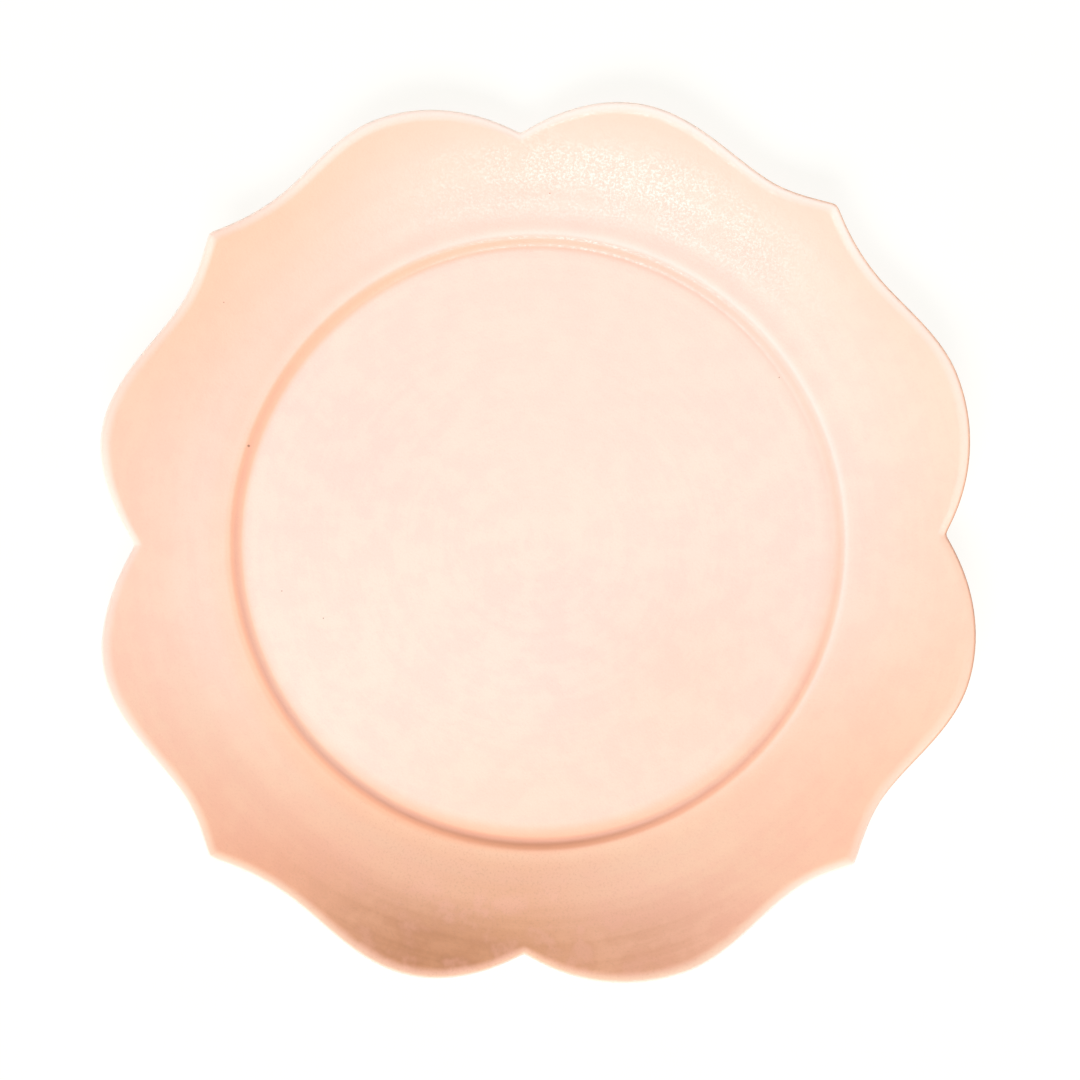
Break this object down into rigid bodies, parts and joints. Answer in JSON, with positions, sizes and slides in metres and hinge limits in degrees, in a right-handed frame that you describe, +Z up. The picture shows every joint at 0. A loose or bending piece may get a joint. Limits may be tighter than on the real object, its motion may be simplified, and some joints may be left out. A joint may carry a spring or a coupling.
{
  "type": "scalloped dessert plate",
  "caption": "Round glazed stoneware dessert plate with a flat stepped well, a rising rim cut in paired scallops with outward points, a rounded lip and a foot ring.",
  "frame": {"origin": "on the plane that the foot ring stands on, on the axis of the well", "axes": "+Z up along the axis of the well, +X and +Y through two neighbouring notches of the rim"},
  "size_m": [0.2041, 0.2057, 0.0199],
  "materials": {
    "fired_clay": "bare fired stoneware, matt and slightly sandy",
    "peach_glaze": "satin pale peach glaze, faintly mottled, paler where it breaks over edges and deeper where it pools in the step"
  },
  "bodies": {
    "root": {"clay_body": "fired_clay", "glaze_coat": "peach_glaze", "base_glaze": "peach_glaze"}
  },
  "joints": []
}
